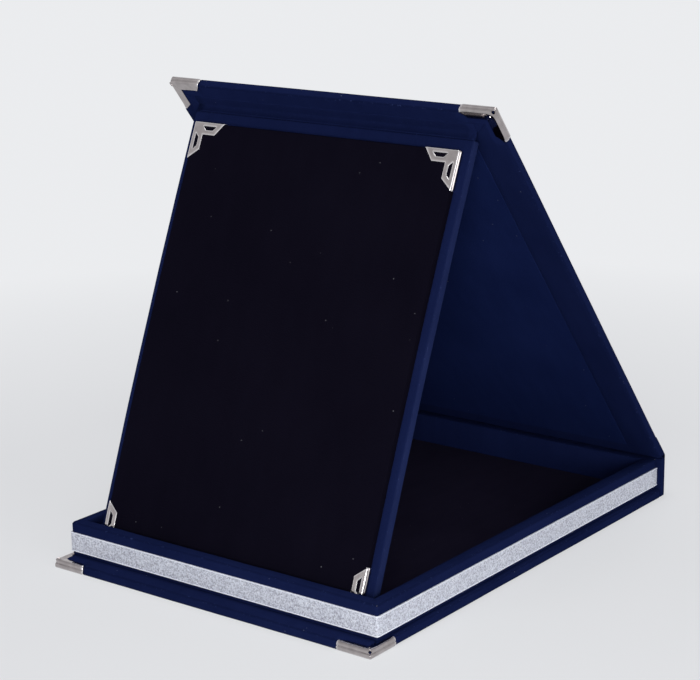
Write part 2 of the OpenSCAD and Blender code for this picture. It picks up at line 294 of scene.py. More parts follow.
def glitter_flakes():
    material, tree, shader, place = new_material("silver glitter", roughness=0.4, specular=0.5, metallic=0.3)
    stops = (0.0, (0.28, 0.29, 0.36)), (0.5, (0.58, 0.60, 0.69)), (1.0, (0.96, 0.97, 1.0))
    tree.links.new(ramp(tree, mark(tree, "glint"), *stops), shader.inputs["Base Color"])
    bumps(tree, shader, grain(tree, place, 0.2 * MM, 1), 0.3, 0.02 * MM)
    return material


nickel, glitter = nickel_plate(), glitter_flakes()
silver = grained("silver ribbon", 0.5, 0.4, 0.75 * MM, 3,
                 ((0.36, (0.36, 0.37, 0.44)), (0.47, (0.55, 0.57, 0.65)), (0.60, (0.72, 0.75, 0.83))),
                 0.5, 0.2 * MM)
thread = grained("woven ribbon edge", 0.5, 0.4, 0.6 * MM, 2,
                 ((0.35, (0.72, 0.75, 0.86)), (0.65, (0.88, 0.90, 0.98))), 0.4, 0.1 * MM, stretch=(1, 1, 0.2))
board = grained("grey board", 0.9, 0.2, 1.6 * MM, 4,
                ((0.35, (0.24, 0.23, 0.21)), (0.65, (0.36, 0.35, 0.32))), 0.3, 0.2 * MM)
for node in frame["nodes"].values():
    node.data.materials.clear()
    node.data.materials.append(board)
print("finishes:", [m.name for m in (nickel, silver, glitter, thread, board)])

# %% [markdown]
# ## From points to a piece
# All hand-made meshes end the same way: the points are turned into place, double points are
# merged, faces are made to look outwards, and the piece is given its finish and the body that it
# rides on, while the solid that it stands for is hidden.

# %% Finish a piece
def put(name, data):
    """A new object that holds some data, at the origin of the scene."""
    made = bpy.data.objects.new(name, data)
    bpy.context.scene.collection.objects.link(made)
    return made


def make_mesh(name, points, faces, turn, marks=None, label="bend", merge=1e-6, outward=True):
    """A closed mesh from points in a board's own directions, turned into place."""
    mesh = bpy.data.meshes.new(name)
    mesh.from_pydata([turn @ Vector(p) for p in points], [], faces)
    if marks is not None:
        mesh.attributes.new(label, "FLOAT", "POINT").data.foreach_set("value", marks)
    work = bmesh.new()
    work.from_mesh(mesh)
    bmesh.ops.remove_doubles(work, verts=work.verts, dist=merge)
    if outward:
        bmesh.ops.recalc_face_normals(work, faces=work.faces)
    work.to_mesh(mesh)
    work.free()
    mesh.shade_smooth()
    return put(name, mesh)


def dress(piece, material, slot, body, *nodes):
    """Gives a piece its finish and its body, and hides the solids that it stands for."""
    if material:
        piece.data.materials.clear()
        piece.data.materials.append(material)
    if body:
        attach(piece, body)
    if nodes:
        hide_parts(*nodes)
    size = [round(d / MM, 1) for d in piece.dimensions]
    print(f"{piece.name}: {len(piece.data.polygons)} faces, {size} mm, stands for {list(nodes)}")
    return piece

# %% [markdown]
# Two more helpers shape a finished mesh. Cloth that is glued to card is never quite flat, which
# shows most where light grazes it, and a sculpted surface would not follow the sizes of the
# solids. So the points are moved by smooth noise, with a seed of its own for each piece.

# %% Uneven cloth and plain meshes
def ruffle(piece, height, size, seed):
    """Moves each point along its normal by smooth noise, because glued cloth is never quite even."""
    for v, n in [(v, v.normal.copy()) for v in piece.data.vertices]:
        v.co += n * height * noise.noise(v.co / size + Vector((seed, 0, 0)))


def baked(piece):
    """Applies what modifiers a piece has: the result becomes its plain mesh."""
    bpy.context.view_layer.update()
    seen = piece.evaluated_get(bpy.context.evaluated_depsgraph_get())
    piece.data = bpy.data.meshes.new_from_object(seen)
    piece.modifiers.clear()
    return piece

# %% [markdown]
# ## A covered board
# Every board of the box is the same thing: a slab wrapped in cloth. A cube with a bevel would
# not do, because the wrap has folds where it is turned in and is pressed down under the metal
# corners. So the slab is laid out as loops, one inside the other, from the middle of its back,
# round its edge, to the middle of its front. Each loop is a rectangle with its own inset,
# height and corner rounding, and all have the same number of points, which gives clean squares.

# %% Loops of a covered board
NEAR = mm(0, 0.35, 0.9, 2.0, 3.5, 5.0, 6.3, 7.3, 9, 11.5, 14, 16, 17.6, 18.6, 19.6, 24)


def side_steps(length, rounding, near, cells):
    """Points along one side, as (along, inward): close together by the corners, even between."""
    arc = rounding * math.pi / 4
    ends = []
    for s in near:
        angle = math.pi / 4 - min(s, arc) / rounding if rounding > 0 else 0
        along = rounding * (1 - math.sin(angle)) if s <= arc and rounding > 0 else rounding + s - arc
        ends.append((along, rounding * (1 - math.cos(angle))))
    last = ends[-1][0]
    middle = [(last + (length - 2 * last) * i / cells, 0) for i in range(1, cells)]
    return ends + middle + [(length - a, i) for a, i in ends[:0:-1]]


def loop_points(low, high, inset, height, rounding, near, cells):
    """One loop of a board: its points in order, from the corner at low round to it again."""
    x0, y0, x1, y1 = low[0] + inset, low[1] + inset, high[0] - inset, high[1] - inset
    across = side_steps(x1 - x0, rounding, near, cells[0])
    along = side_steps(y1 - y0, rounding, near, cells[1])
    return ([(x0 + a, y0 + i, height) for a, i in across] + [(x1 - i, y0 + a, height) for a, i in along]
            + [(x1 - a, y1 - i, height) for a, i in across] + [(x0 + i, y1 - a, height) for a, i in along])


def edge_loops(low_z, high_z, low_radius, high_radius, insets=(), steps=5):
    """The loops of a board as (inset, height, bend) from the middle of its back to that of its front."""
    made = [(i, low_z, 0.0) for i in reversed(insets) if i > low_radius]
    for radius, z, way in ((low_radius, low_z, 1), (high_radius, high_z, -1)):
        arc = []
        for k in range(steps + 1):
            a = QUARTER * k / steps
            arc.append((radius * (1 - math.sin(a)), z + way * radius * (1 - math.cos(a)), math.sin(2 * a)))
        made += arc if way > 0 else arc[::-1]
    return made + [(i, high_z, 0.0) for i in insets if i > high_radius]


print("points along a 100 mm side:", len(side_steps(100 * MM, 1 * MM, NEAR, 14)))

# %% [markdown]
# The loops are then joined by squares. The two middles, which no loop covers, get a grid that
# uses the points of the first and the last loop as its rim, so that the cloth can be moved there
# as well. A face with hundreds of corners would be simpler, but it could not be shaped.

# %% A slab from loops
def covered_board(name, turn, low, high, loops, rounding=1.2 * MM, near=NEAR, cells=(14, 18), shape=None):
    """A slab as nested loops, its two middles filled with a grid. shape moves single points."""
    points, bend, rows = [], [], []
    for inset, height, curve in loops:
        row = loop_points(low, high, inset, height, max(rounding - inset, 0), near, cells)
        rows.append(range(len(points), len(points) + len(row)))
        points += row
        bend += [curve] * len(row)
    count = len(rows[0])
    faces = [(a[i], a[(i + 1) % count], b[(i + 1) % count], b[i])
             for a, b in zip(rows, rows[1:]) for i in range(count)]
    wide, deep = (2 * (len(near) - 1) + c for c in cells)
    for row in (rows[0], rows[-1]):
        edge = {}
        for i in range(wide):
            edge[i, 0], edge[wide - i, deep] = row[i], row[wide + deep + i]
        for j in range(deep):
            edge[wide, j], edge[0, deep - j] = row[wide + j], row[2 * wide + deep + j]
        for i in range(1, wide):
            for j in range(1, deep):
                edge[i, j] = len(points)
                points.append((points[edge[i, 0]][0], points[edge[0, j]][1], points[row[0]][2]))
                bend.append(0.0)
        faces += [(edge[i, j], edge[i + 1, j], edge[i + 1, j + 1], edge[i, j + 1])
                  for i in range(wide) for j in range(deep)]
    if shape:
        points = [shape(*p) for p in points]
    return make_mesh(name, points, faces, turn, bend)


# %% [markdown]
# ## The base
# The base is a velvet covered board, wider than the tray. Its two front corners wear metal, whose
# plates are let into the velvet underneath. The corners are crimped: their flaps bite into cloth
# and board, so they are thinner than the board. The points under the metal are moved in, and the
# piece stands for the stiff board as well, which would poke through there.

# %% Cloth under metal
PLATE_SINK, EDGE_SINK, FLAP_SINK = mm(0.55, 0.5, 0.4)
ARM_PRESS, LEG_PRESS, LEAN_PRESS = 6.8 * MM, 19.0 * MM, 0.85


def under_plate(x, y, corners):
    """Whether a point lies under the L of a metal corner, at any of some board corners."""
    for cx, cy in corners:
        dx, dy = abs(x - cx), abs(y - cy)
        for across, along in ((dx, dy), (dy, dx)):
            if across < ARM_PRESS and along < LEG_PRESS - LEAN_PRESS * across:
                return True
    return False


def pressed(low, high, corners, way, bite, flap_side, flap_end, step=0.0):
    """A shape that moves the cloth of a board inwards under plates, strips and flaps.

    way leads from the corners along y. The flap is flap_side wide before the step on its way and
    flap_end wide beyond it."""
    def shape(x, y, z):
        if abs(z - low.z) < 0.3 * MM and under_plate(x, y, corners):
            z += PLATE_SINK
        for cx, cy in corners:
            dx, dy = abs(x - cx), abs(y - cy)
            near, far = sorted((dx, dy))
            if far < LEG_PRESS and near < EDGE_SINK:
                x -= math.copysign(max(EDGE_SINK - dx, 0), cx)
                y += way * max(EDGE_SINK - dy, 0)
            if (dx < (flap_end if dy < step else flap_side) or dy < flap_end) and far < LEG_PRESS:
                z = min(z, high.z - bite - FLAP_SINK)
        return x, y, z
    return shape


base_low, base_high = span(flat_turn, "base_cover")
tray_low, tray_high = span(flat_turn, "tray_cover")
WALL_STEP = tray_low.y - base_low.y - 0.1 * MM
BASE_BITE = 0.85 * MM
print("the tray's wall starts", round(WALL_STEP / MM, 2), "mm behind the edge of the base")

# %% Velvet of the base
BOARD_INSETS = mm(1.2, 2.2, 3.6, 5, 6.3, 7.3, 9.5, 12, 15, 17.4, 18.4, 24)
base_corners = [(base_low.x, base_low.y), (base_high.x, base_low.y)]
base_shape = pressed(base_low, base_high, base_corners, 1, BASE_BITE, *mm(2.6, 5.0), WALL_STEP)
base = covered_board("base_velvet", flat_turn, base_low, base_high,
                     edge_loops(base_low.z, base_high.z, *mm(0.9, 1.1), BOARD_INSETS), shape=base_shape)
ruffle(base, 0.12 * MM, 30 * MM, 1)
for v in base.data.vertices:
    v.co.z = max(v.co.z, base_low.z)
dress(base, velvet, "velvet", "case", "base_cover", "base_board")

# %% [markdown]
# ## The tray
# Four velvet covered walls stand on the base, as one ring. The same loops make it, but now they
# run from the foot of the outside over the rim and down the inside, and the last loop joins the
# first. At each corner of the rim the cloth is folded, which leaves a fine crease along the mitre.

# %% Velvet of the tray walls
def covered_ring(name, turn, low, high, loops, rounding, near, cells, crease):
    """Nested loops closed into a ring. crease lowers the mitre of the loops that lie on the rim."""
    points, bend, rows = [], [], []
    wide, deep = (2 * (len(near) - 1) + c for c in cells)
    mitres = {0, wide, wide + deep, 2 * wide + deep}
    count = 2 * (wide + deep)
    for inset, height, curve in loops:
        radius = rounding[0] + (rounding[1] - rounding[0]) * inset / loops[-1][0]
        row = loop_points(low, high, inset, height, radius, near, cells)
        for i, (x, y, z) in enumerate(row):
            off = min(min(abs(i - m), count - abs(i - m)) for m in mitres)
            if height > high[2] - 1.2 * MM:
                z -= crease * (1.0, 0.35, 0)[min(off, 2)]
            points.append((x, y, z))
        rows.append(range(len(points) - count, len(points)))
        bend += [curve] * count
    faces = [(a[i], a[(i + 1) % count], b[(i + 1) % count], b[i])
             for a, b in zip(rows, rows[1:] + rows[:1]) for i in range(count)]
    return make_mesh(name, points, faces, turn, bend)


floor_low, floor_high = span(flat_turn, "floor_flock")
wall_t = floor_low.x - tray_low.x
CROWN = 0.25 * MM
outer = edge_loops(tray_low.z, tray_high.z, *mm(0.3, 1.2))
inner = edge_loops(floor_low.z - 0.5 * MM, tray_high.z + CROWN / 2, *mm(0.2, 0.7))
inner = [(wall_t - inset, z, bend) for inset, z, bend in reversed(inner)]
crown = [(wall_t * t, tray_high.z + CROWN * h, 0.0) for t, h in ((0.35, 0.8), (0.55, 1.0), (0.75, 0.9))]
tray = covered_ring("tray_velvet", flat_turn, tray_low, tray_high, outer + crown + inner, mm(1.1, 0.6),
                    mm(0, 0.35, 0.9, 2.5, 6, 12), (24, 32), 0.22 * MM)
ruffle(tray, 0.16 * MM, 22 * MM, 2)
dress(tray, velvet, "velvet", "case", "tray_cover")

# %% [markdown]
# ## The spine
# The back of the box is another covered board, on edge. It is as tall as the rim and closes the
# ends of the side walls, so its own edge shows as a narrow strip past the end of the ribbon.

# %% Velvet of the spine
spine_turn = board_turn("spine_cover", Vector((0, 1, 0)))
spine_low, spine_high = span(spine_turn, "spine_cover")
spine_loops = edge_loops(spine_low.z, spine_high.z, *mm(0.5, 1.0), mm(1.2, 2.5, 5))
spine = covered_board("spine_velvet", spine_turn, spine_low, spine_high, spine_loops,
                      near=mm(0, 0.35, 0.9, 2, 4), cells=(30, 4))
ruffle(spine, 0.10 * MM, 30 * MM, 3)
dress(spine, velvet, "velvet", "case", "spine_cover")

# %% [markdown]
# ## The floor of the tray
# A flocked card lies inside the walls. It is thin, so only its top and a hair of its edge show.

# %% Flock of the floor
floor_loops = edge_loops(floor_low.z, floor_high.z, *mm(0.05, 0.35), mm(0.6, 1.5, 4, 10), steps=3)
floor = covered_board("floor_flocking", flat_turn, floor_low, floor_high, floor_loops, rounding=0.4 * MM,
                      near=mm(0, 0.3, 0.8, 2, 6), cells=(24, 32))
ruffle(floor, 0.08 * MM, 35 * MM, 4)
dress(floor, floor_pile_lightened, "flock", "case", "floor_flock")

# %% [markdown]
# ## The lid
# The lid is a covered board too. Its velvet is turned in by a wide strip along three sides, with
# a mitred fold at each free corner. The fold is made by lowering the points along the corner's
# diagonal, and the cloth lies a little lower where the lining covers it.

# %% Velvet of the lid
lid_low, lid_high = span(lid_turn, "lid_cover")
lining_low, lining_high = span(lid_turn, "lid_lining")
turn_in = lining_low.x - lid_low.x
lid_corners = [(lid_low.x, lid_high.y), (lid_high.x, lid_high.y)]
LID_BITE, FOLD_DEEP, FOLD_WIDE, LINING_BED = mm(1.2, 0.30, 0.45, 0.35)
press_lid = pressed(lid_low, lid_high, lid_corners, -1, LID_BITE, *mm(6.0, 6.0))


def lid_shape(x, y, z):
    x, y, z = press_lid(x, y, z)
    if z > lid_high.z - 0.4 * MM:
        inside = min(lid_high.x - abs(x), lid_high.y - y)
        off = abs((lid_high.x - abs(x)) - (lid_high.y - y))
        if 1.0 * MM < inside < turn_in:
            z -= FOLD_DEEP * math.exp(-(off / FOLD_WIDE) ** 2)
        if lining_low.x < x < lining_high.x and lining_low.y < y < lining_high.y:
            z -= LINING_BED
    return x, y, z


lid_loops = edge_loops(lid_low.z, lid_high.z, *mm(0.8, 1.2), BOARD_INSETS)
lid = covered_board("lid_velvet", lid_turn, lid_low, lid_high, lid_loops, shape=lid_shape)
ruffle(lid, 0.14 * MM, 40 * MM, 5)
dress(lid, velvet, "velvet", "lid", "lid_cover", "lid_board")

# %% [markdown]
# ## The lining of the lid
# A sheet of velvet is glued between the turned-in strips and hides their cut edges. It could be
# painted on the lid, but its own soft edge stands up a little and catches the light, so it is a
# piece of its own. It is marked as less bent, so its edge gets less painted shade and fewer painted tufts.

# %% Lining of the lid
lining_low.z -= 0.2 * MM
lining_high.z -= 0.08 * MM
# less painted shade and fewer painted tuft highlights at the lining's edge
lining_loops = [(inset, z, 0.3 * bend) for inset, z, bend in
                edge_loops(lining_low.z, lining_high.z, *mm(0.05, 0.30), mm(0.8, 2, 6), steps=4)]
lining = covered_board("lid_lining_velvet", lid_turn, lining_low, lining_high, lining_loops,
                       rounding=0.5 * MM, near=mm(0, 0.35, 0.9, 2, 6), cells=(24, 32))
ruffle(lining, 0.16 * MM, 30 * MM, 6)
dress(lining, lining_velvet_lightened, "velvet", "lid", "lid_lining")

# %% [markdown]
# ## The easel panel and the plaque board
# The panel carries the black board for the award. Panel and board are bowed forward a little in
# the middle, as the card springs between its hinge and its foot. The same bow is given to all
# that sits on the panel, so nothing lifts off. The stiff solids inside would poke through a
# bowed cover, so these two pieces stand for them as well. The right edge of the panel is
# painted paler, a painted highlight speckled by the pile: a second value on the mesh marks it.

# %% Velvet of the panel
panel_low, panel_high = span(panel_turn, "easel_cover")
plaque_low, plaque_high = span(panel_turn, "plaque_flock")
BOW = 1.7 * MM


def bowed(x, y, z):
    """Pushes a point of the panel to its front, most at half height."""
    t = (y - panel_low.y) / (panel_high.y - panel_low.y)
    return x, y, z + BOW * 4 * t * (1 - t)


PANEL_INSETS, SHEEN_WIDE = mm(1.2, 2.2, 4, 8, 16, 24), 1.0 * MM
panel_loops = edge_loops(panel_low.z, panel_high.z, *mm(0.8, 0.8), PANEL_INSETS)
panel = covered_board("panel_velvet", panel_turn, panel_low, panel_high, panel_loops, shape=bowed)
# painted highlight: the panel gets paler towards its right edge
handled = panel.data.attributes.new("handled", "FLOAT", "POINT")
for v, sheen_share in zip(panel.data.vertices, handled.data):
    sheen_share.value = max(0.0, 1 - (panel_high.x - v.co.x) / SHEEN_WIDE)
ruffle(panel, 0.12 * MM, 30 * MM, 7)
dress(panel, velvet, "velvet", "easel", "easel_cover", "easel_board")

# %% [markdown]
# The award is fixed to a board under black flock, which has a finer and shorter pile than velvet.
# It is the same kind of slab, with a tighter edge, and its back is sunk into the panel a little,
# so that no light shows between the two.

# %% Flocked plaque board
plaque_loops = edge_loops(plaque_low.z - 0.3 * MM, plaque_high.z, *mm(0.1, 0.45), PANEL_INSETS, steps=4)
plaque = covered_board("plaque_flocking", panel_turn, plaque_low, plaque_high, plaque_loops,
                       rounding=0.8 * MM, shape=bowed)
ruffle(plaque, 0.06 * MM, 40 * MM, 8)
dress(plaque, flock, "flock", "easel", "plaque_flock", "plaque_board")

# %% [markdown]
# ## Metal corners
# A metal corner is pressed from one thin sheet: a plate with two windows, an edge strip bent
# down over the side of the board, and on the big boards two flaps bent in on the other face.
# It is modelled the way it is made, as one skin that is given its thickness at the end. Boxes
# with a bevel would be quicker, but they have no crimped bends, and those catch the light.
# First come two small tools for flat outlines: to round them and to set points along them.

# %% Outlines
def rounded_outline(corners, radius, steps=4):
    """A closed outline with its corners rounded."""
    made = []
    for before, at, after in zip(corners[-1:] + corners[:-1], corners, corners[1:] + corners[:1]):
        at, a, b = Vector(at), Vector(before) - Vector(at), Vector(after) - Vector(at)
        a.normalize()
        b.normalize()
        for k in range(steps + 1):
            t = k / steps
            made.append(tuple(at + a * radius * (1 - t) ** 2 + b * radius * t ** 2))
    return made


def dense(line, step):
    """The same open line with points no farther apart than step."""
    made = []
    for a, b in zip(line, line[1:]):
        count = max(1, round((Vector(b) - Vector(a)).length / step))
        made += [tuple(Vector(a).lerp(Vector(b), i / count)) for i in range(count)]
    return made + [line[-1]]

# %% [markdown]
# Three more tell where a point lies: inside an outline or not, how far from its edge, and how
# far a pressed rim has dipped there. Near its edge the sheet follows a quarter of an ellipse.

# %% Places beside an outline
def inside(p, outline):
    """Whether a point lies inside a closed outline."""
    hit = False
    for (ax, ay), (bx, by) in zip(outline, outline[1:] + outline[:1]):
        if (ay > p[1]) != (by > p[1]) and p[0] < (bx - ax) * (p[1] - ay) / (by - ay) + ax:
            hit = not hit
    return hit


def away_from(p, outline):
    """Distance from a point to the nearest edge of an open line."""
    best = 1.0
    for a, b in zip(outline, outline[1:]):
        a, b, q = Vector(a), Vector(b), Vector(p)
        t = max(0.0, min(1.0, (q - a).dot(b - a) / (b - a).length_squared))
        best = min(best, (q - a.lerp(b, t)).length)
    return best


def pressed_rim(distance, reach, drop):
    """How far a pressed edge dips, at some distance from the edge."""
    t = 1 - min(distance / reach, 1)
    return -drop * (1 - math.sqrt(max(0.0, 1 - t * t)))

# %% [markdown]
# Plate and flaps are flat outlines filled with small triangles, so that their rims can be
# pressed down on to the cloth. Points are strewn evenly inside the outline, and a Delaunay
# triangulation, which avoids thin triangles, joins them to it.

# %% Fill an outline with triangles
FINE = 0.62 * MM


def filled(outline, holes=()):
    """Triangles that fill an outline around its holes, all counterclockwise."""
    rings = [outline, *holes]

    def in_sheet(p):
        return inside(p, outline) and not any(inside(p, hole) for hole in holes)

    points, edges = [], []
    for ring in rings:
        first = len(points)
        points += [Vector(p) for p in ring]
        edges += [(first + i, first + (i + 1) % len(ring)) for i in range(len(ring))]
    count = int(max(p.x for p in points) / FINE) + 2
    for i in range(count):
        for j in range(count):
            p = ((i + 0.5 * (j % 2)) * FINE, j * FINE * 0.87)
            if in_sheet(p) and min(away_from(p, ring + ring[:1]) for ring in rings) > 0.45 * FINE:
                points.append(Vector(p))
    made = delaunay_2d_cdt(points, edges, [], 1, 1e-7)
    faces = []
    for face in made[2]:
        a, b, c = (made[0][i] for i in face)
        if in_sheet((a + b + c) / 3):
            faces.append(tuple(face) if (b - a).cross(c - a) > 0 else tuple(reversed(face)))
    return [tuple(p) for p in made[0]], faces


square = [(0, 0), (5 * MM, 0), (5 * MM, 5 * MM), (0, 5 * MM)]
print("triangles in a 5 mm square:", len(filled(dense(square, 1 * MM))[1]))

# %% [markdown]
# ## The sizes of a corner
# The corners differ in a few sizes only, so those are kept together under names. The plate is
# an L with slanted tips, and each arm has a window whose long side is outward.

# %% Sizes and outlines
# leg: length of an arm. depth: height of the strip. flaps: for each, its width before and beyond
# the step. bite: how much thinner the crimped corner is than the board. slope: how steeply the
# flaps dip into the cloth. groove: place of the strip's crease. dip: how far the rims go down.
Sheet = namedtuple("Sheet", "leg depth flaps step bite slope groove dip")
ARM_WIDE, TIP_SLANT = mm(6.5, 5.2)
BEND, ROLL, ARC = mm(0.6, 1.3, 0.9)
TRIM, HOLE, RIM = mm(0.6, 1.15, 0.6)
HAIR = 0.02 * MM
# FOLD_SHINE is a painted highlight on the first rows of the bend
FOLD_SHINE = (0, 0.4, 0.8, 0.8, 0.6, 0.3)


def window(leg):
    """The trapezoid hole beside one side, as seen from the outer corner."""
    far, length = leg - 5.0 * MM, 8.4 * MM
    start, near_edge, deep, slant = far - length, *mm(2.1, 2.1, 2.0)
    return [(start, near_edge), (far, near_edge),
            (far - slant, near_edge + deep), (start + slant, near_edge + deep)]


def plate_outline(leg):
    """The free edge of the plate, from tip to tip, and its two windows."""
    tips = [(leg, 0), (leg - TIP_SLANT, ARM_WIDE), (ARM_WIDE, ARM_WIDE),
            (ARM_WIDE, leg - TIP_SLANT), (0, leg)]
    hole = rounded_outline(window(leg), 0.45 * MM)
    return tips, [hole, [(v, u) for u, v in reversed(hole)]]


def crimp(sheet, run):
    """How much thinner the corner is pressed at one place along its leg: least at both ends."""
    return (sheet.bite * (1 - math.exp(-(run / (2.5 * MM)) ** 2))
            - 0.35 * MM * math.exp(-((sheet.leg - run) / (1.5 * MM)) ** 2))

# %% [markdown]
# ## The bent strip
# The strip is a sleeve of rows and columns. Its rows go from the plate over the bend and down
# the side, which has a shallow crease, and on the big boards round a second bend to the flaps.
# Its columns run round the corner and lie close together there.

# %% Rows and columns of the strip
def strip_rows(sheet, run):
    """The skin at one place along the leg, from the plate down: (inset, height, share of the plate)."""
    rows = [(BEND + 0.2 * MM, 0, 1)]
    for k in range(5):
        a = QUARTER * k / 4
        rows.append((BEND * (1 - math.sin(a)), -BEND * (1 - math.cos(a)), 1 - k / 4))
    by_corner = math.exp(-(run / (3 * MM)) ** 2)
    roll = ROLL + 0.9 * MM * by_corner if sheet.flaps else 0
    foot = sheet.depth - roll - crimp(sheet, run)
    for k in range(1, 17):
        w = BEND + (foot - BEND) * k / 16
        swell = 0.30 * MM * math.sin(math.pi * k / 16) * (1 - by_corner * bool(sheet.flaps))
        crease = (0.48 if sheet.flaps else 0.34) * MM * math.exp(-((w - sheet.groove) / (0.28 * MM)) ** 2)
        rows.append((crease - swell, -w, 0.0))
    if sheet.flaps:
        rows += [(roll * (1 - math.cos(a)), -foot - roll * math.sin(a), 0.0)
                 for a in (QUARTER * i / 8 for i in range(1, 9))]
    return rows


def strip_columns(leg):
    """Places from tip to tip, as (run from the corner, angle round it)."""
    runs = [leg - (leg - ARC) * t * t * (3 - 2 * t) for t in (i / 22 for i in range(22))]
    return ([(run, 0) for run in runs] + [(ARC, QUARTER * i / 8) for i in range(9)]
            + [(run, QUARTER) for run in reversed(runs)])


def seen_flat(sheet, run, angle, inset, trim):
    """Where a point of the strip lies as seen from above. trim pulls it back from the tip."""
    if run > ARC:
        run = max(run - trim * (run - ARC) / (sheet.leg - ARC), inset + HAIR)
        return (inset, run) if angle == 0 else (run, inset)
    r = max(ARC - inset, HAIR)
    c = ARC if inset < ARC else inset + HAIR
    return c - r * math.cos(angle), c - r * math.sin(angle)

# %% [markdown]
# Where three bends meet, the punch leaves a small relief hole so that the sheet does not tear.
# The squares that it touches are left out, and the points on its rim are moved to a round one.
# Beside each point goes a mark for how much painted highlight it gets, which the nickel reads.

# %% The strip as a mesh
def strip_skin(sheet, columns, edge_distance):
    """Points, faces and burnish marks of the strip, row by row."""
    points, marks, faces = [], [], []
    bent = [strip_rows(sheet, run) for run, angle in columns]
    for t in range(len(bent[0])):
        for (run, angle), rows in zip(columns, bent):
            inset, w, share = rows[t]
            tucked = -pressed_rim(sheet.leg - run, *mm(0.9, 0.30)) if share < 1 else 0
            fall = -w / sheet.depth
            drawn = TRIM * (max(0, 0.25 - fall) * 1.6 + max(0, fall - 0.55) ** 2 * 5) * bool(sheet.flaps)
            trim = TIP_SLANT / ARM_WIDE * inset * (share > 0) + drawn
            u, v = seen_flat(sheet, run, angle, inset + tucked, trim)
            near_edge = edge_distance((u, v)) if share > 0 else 1.0
            points.append((u, v, w + share * pressed_rim(near_edge, RIM, sheet.dip)))
            # painted highlight marks: the rows of the bend, the tips and the rims
            fold = FOLD_SHINE[t] if t < len(FOLD_SHINE) else 0.0
            marks.append(max(fold, 1 - (sheet.leg - run) / (1.1 * MM), 1 - near_edge / RIM))
    wide = len(columns)
    tip = ARC * (1 - math.sqrt(0.5))
    hole_at = Vector((tip, tip, 2.0 * MM - sheet.depth))
    kept, dropped = set(), set()
    for t in range(len(bent[0]) - 1):
        for at in range(t * wide, (t + 1) * wide - 1):
            face = (at, at + wide, at + wide + 1, at + 1)
            middle = sum((Vector(points[i]) for i in face), Vector()) / 4
            if sheet.flaps and (middle - hole_at).length < HOLE:
                dropped.update(face)
            else:
                kept.update(face)
                faces.append(face)
    for i in kept & dropped:
        points[i] = tuple(hole_at + (Vector(points[i]) - hole_at).normalized() * HOLE)
    return points, faces, marks

# %% [markdown]
# The plate starts on the strip's first row and each flap on its last row, with the very same
# points, so the parts close up when double points are merged.

# %% Plate and flaps
def plate_skin(top, tips, holes, dip, edge_distance):
    """The flat plate between the strip's first row and its free edge."""
    free = dense([top[-1], *tips[1:4], top[0]], 0.7 * MM)[1:-1]
    flat, faces = filled(top + free, holes)
    away = [edge_distance(p) for p in flat]
    points = [(u, v, pressed_rim(d, RIM, dip)) for (u, v), d in zip(flat, away)]
    # painted highlight mark near the free edge and the windows
    return points, faces, [max(0.0, 1 - d / RIM) for d in away]


def flap_skin(sheet, side, columns, last_row):
    """One flap, from the strip's last row inwards. It narrows at the step."""
    flap, beyond = sheet.flaps[side]
    half, wide = len(columns) // 2, len(columns)
    round_it = range(half, -1, -1) if side else range(half, wide)
    line = [s for s in round_it if columns[s][0] > ROLL + 0.1 * MM]
    row = [last_row[s][1::-1] if side else last_row[s][:2] for s in line]
    rim = [row[-1], (row[-1][0] - 3.0 * MM, beyond)]
    if beyond < flap:
        rim += [(sheet.step, beyond), (sheet.step, flap)]
    rim = dense(rim + [(flap + row[0][0] - row[0][1], flap), row[0]], 0.6 * MM)
    flat, fill = filled(row + rim[1:-1])
    points = []
    for u, v in flat:
        w = (sheet.slope * max(0.0, v - ROLL) + crimp(sheet, u) - sheet.depth
             - pressed_rim(away_from((u, v), rim), *mm(0.5, 0.08)))
        for i, p in enumerate(row):
            if (Vector((u, v)) - Vector(p)).length < 1e-7:
                w = last_row[line[i]][2]
        points.append((v, u, w) if side else (u, v, w))
    return points, [face if side else face[::-1] for face in fill], [0.0] * len(points)

# %% [markdown]
# The parts are put together as one skin in the first quadrant, with the board's corner at zero.
# It is then set on its own corner and turned to the ways that its board runs, which may mirror
# it, and then its faces are turned round. Solidify gives the skin the thickness of the sheet.

# %% One metal corner
def metal_corner(name, turn, corner, ways, sheet, shape=None):
    """A corner whose outer skin starts at the board's corner and runs along ways."""
    columns = strip_columns(sheet.leg)
    tips, holes = plate_outline(sheet.leg)
    loose = [hole + hole[:1] for hole in holes] + [tips]

    def edge_distance(p):
        return min(away_from(p, line) for line in loose)

    points, faces, marks = strip_skin(sheet, columns, edge_distance)
    first_row = [p[:2] for p in points[:len(columns)]]
    last_row = points[-len(columns):]
    parts = [plate_skin(first_row, tips, holes, sheet.dip, edge_distance)]
    parts += [flap_skin(sheet, side, columns, last_row) for side in range(len(sheet.flaps))]
    for more_points, more_faces, more_marks in parts:
        start = len(points)
        points += more_points
        faces += [tuple(start + i for i in face) for face in more_faces]
        marks += more_marks
    if ways[0] * ways[1] * ways[2] < 0:
        faces = [face[::-1] for face in faces]
    points = [[c + way * p for c, way, p in zip(corner, ways, point)] for point in points]
    if shape:
        points = [shape(*p) for p in points]
    piece = make_mesh(name, points, faces, turn, marks, label="rim", merge=2e-6, outward=False)
    thick = piece.modifiers.new("sheet", "SOLIDIFY")
    thick.thickness, thick.offset, thick.use_even_offset = 0.32 * MM, -1, False
    baked(piece)
    piece.data.shade_smooth()
    piece.data.set_sharp_from_angle(angle=math.radians(38))
    return piece

# %% [markdown]
# ## The eight metal corners
# Two sit on the base, two on the lid and four on the plaque board, left and right as mirror
# images. On the big boards the plate lies on the hidden face and the flaps on the inner one.
# On the plaque board the plate is in front, stands a little proud, and follows the bow.

